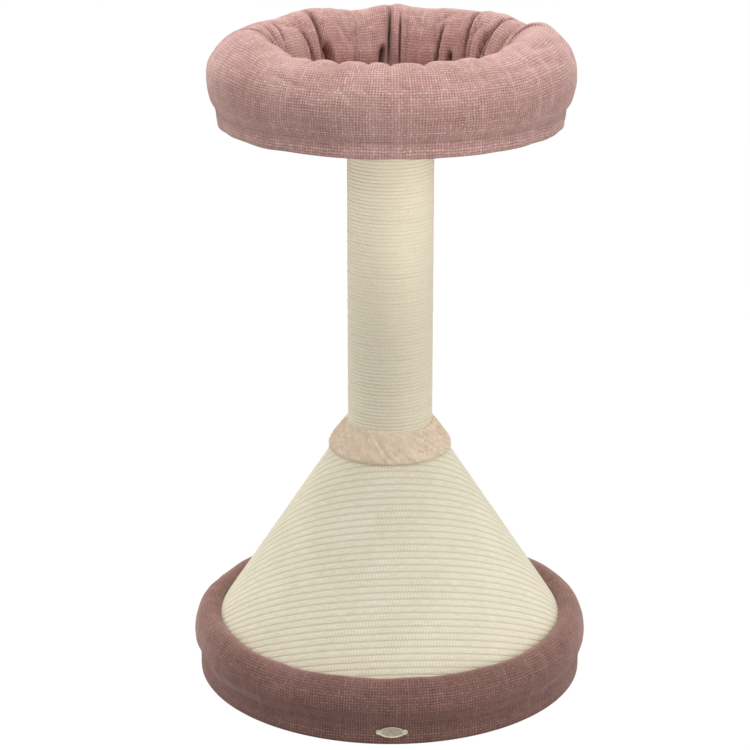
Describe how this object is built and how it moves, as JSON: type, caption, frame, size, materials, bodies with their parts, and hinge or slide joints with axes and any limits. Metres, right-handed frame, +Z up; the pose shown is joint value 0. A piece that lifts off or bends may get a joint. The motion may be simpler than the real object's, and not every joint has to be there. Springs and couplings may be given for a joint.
{
  "type": "cat scratching post",
  "caption": "Cat scratching post: round padded base, sisal-matted cone, rope-wound post and a round bed with a gathered bolster and a lift-out cushion.",
  "frame": {"origin": "centre of the base on the floor", "axes": "+Z up along the post, -Y towards the front, where the badge is"},
  "size_m": [0.4264, 0.4264, 0.6969],
  "materials": {
    "bed_fabric": "matte",
    "base_fabric": "matte",
    "sisal_rope": "matte",
    "sisal_mat": "matte",
    "plush": "matte",
    "chipboard": "matte",
    "fibreboard": "matte",
    "cardboard_tube": "matte",
    "zinc_steel": "satin",
    "nickel_plate": "satin"
  },
  "bodies": {
    "stand": {"base_board": "chipboard", "base_cover": "base_fabric", "base_rim": "base_fabric", "badge": "nickel_plate", "badge_pin_left": "nickel_plate", "badge_pin_right": "nickel_plate", "cone_foot_board": "chipboard", "foot_screw_1": "zinc_steel", "foot_screw_2": "zinc_steel", "foot_screw_3": "zinc_steel", "foot_screw_4": "zinc_steel", "cone_shell": "fibreboard", "cone_mat": "sisal_mat", "cone_top_board": "chipboard", "core_tube": "cardboard_tube", "core_plug_lower": "chipboard", "core_plug_upper": "chipboard", "core_insert_lower": "zinc_steel", "core_insert_upper": "zinc_steel", "base_washer": "zinc_steel", "base_bolt": "zinc_steel", "joint_stud": "zinc_steel", "post_tube": "cardboard_tube", "post_plug_lower": "chipboard", "post_plug_upper": "chipboard", "post_insert_lower": "zinc_steel", "post_insert_upper": "zinc_steel", "post_rope": "sisal_rope", "collar": "plush", "bed_board": "chipboard", "bed_cover": "bed_fabric", "bed_washer": "zinc_steel", "bed_bolt": "zinc_steel", "bed_bolster": "bed_fabric"},
    "cushion": {"bed_cushion": "bed_fabric"}
  },
  "joints": [
    {"name": "cushion_lift", "type": "slide", "parent": "stand", "child": "cushion", "axis": [0, 0, 1], "range_m": [0, 0.15]}
  ]
}
